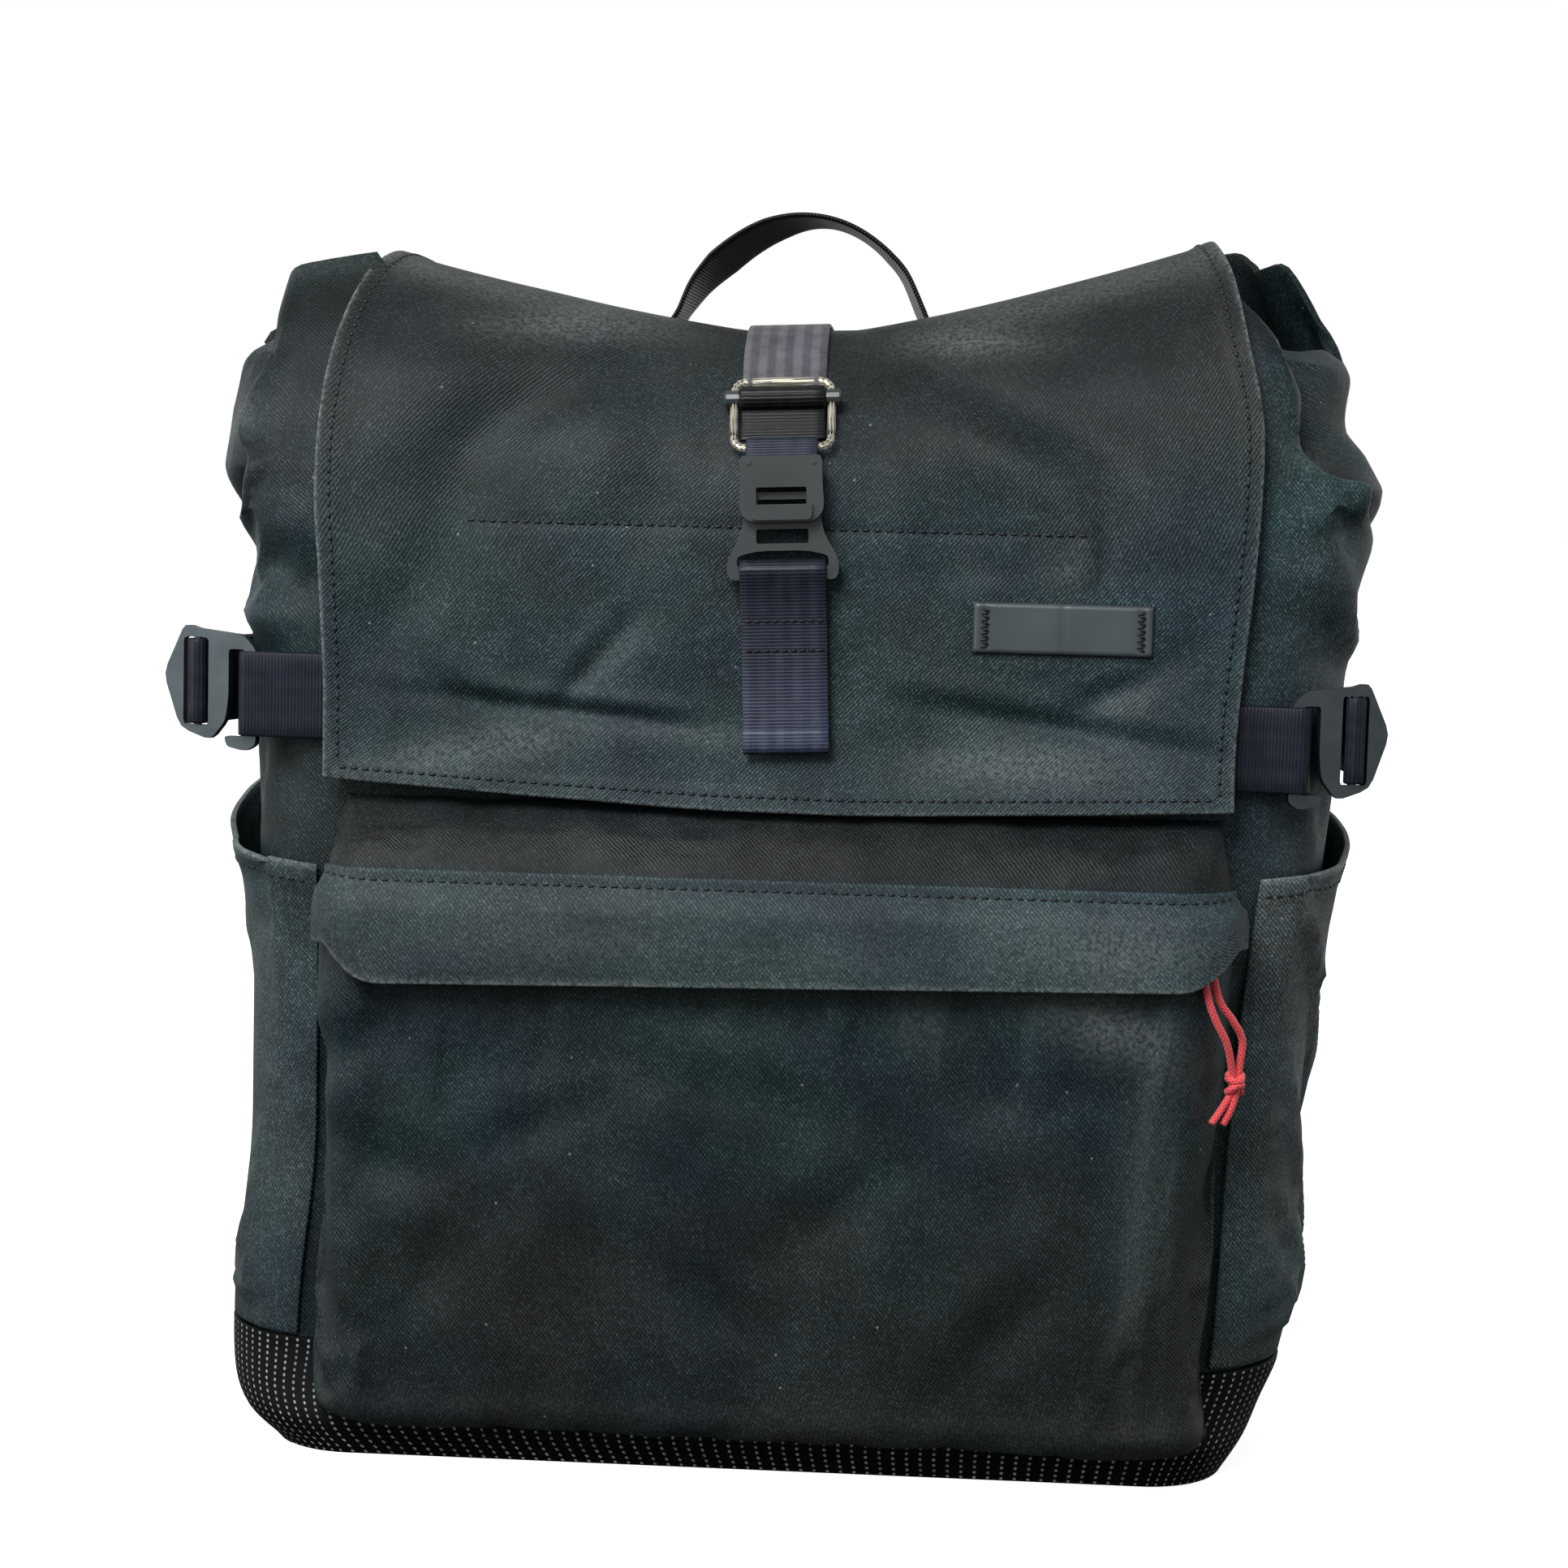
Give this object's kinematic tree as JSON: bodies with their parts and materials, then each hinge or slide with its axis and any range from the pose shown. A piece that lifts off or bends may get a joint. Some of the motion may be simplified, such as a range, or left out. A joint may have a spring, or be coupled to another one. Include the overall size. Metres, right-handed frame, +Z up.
{
  "type": "convertible bike backpack",
  "caption": "Soft canvas bike backpack with a flap lid, strap with slider and clip buckle, zipped front pocket, side pockets, side hooks, reinforced base and shoulder straps.",
  "frame": {"origin": "on the floor, under the middle of the body, at the centre of the flat base", "axes": "+Z up, the front with the pocket and buckle faces -Y, +X to the right as seen from the front"},
  "size_m": [0.3632, 0.1929, 0.3762],
  "materials": {
    "waxed_canvas": "waxed twill, matt",
    "dotted_base_cloth": "coated cloth with printed dots",
    "webbing": "ribbed woven webbing",
    "padded_cloth": "padded cloth, matt",
    "moulded_plastic": "satin moulded",
    "nickel_wire": "polished",
    "gunmetal": "satin",
    "label_rubber": "satin",
    "red_cord": "braided"
  },
  "bodies": {
    "root": {"body": "waxed_canvas", "lid": "waxed_canvas", "front_pocket": "waxed_canvas", "storm_flap": "waxed_canvas", "side_pocket_left": "waxed_canvas", "side_pocket_right": "waxed_canvas", "base": "dotted_base_cloth", "handle": "webbing", "closure_strap": "webbing", "buckle_loop": "webbing", "pull_strap": "webbing", "side_loop_left": "webbing", "side_loop_right": "webbing", "side_strap_left": "webbing", "side_strap_right": "webbing", "shoulder_web_left": "webbing", "shoulder_web_right": "webbing", "shoulder_pad_left": "padded_cloth", "shoulder_pad_right": "padded_cloth", "slider_frame": "nickel_wire", "slider_bar": "moulded_plastic", "buckle_upper": "moulded_plastic", "buckle_lower": "moulded_plastic", "hook_left": "gunmetal", "hook_right": "gunmetal", "zip_slider": "gunmetal", "label": "label_rubber", "pull_strand_left": "red_cord", "pull_strand_right": "red_cord", "pull_knot": "red_cord"}
  },
  "joints": []
}
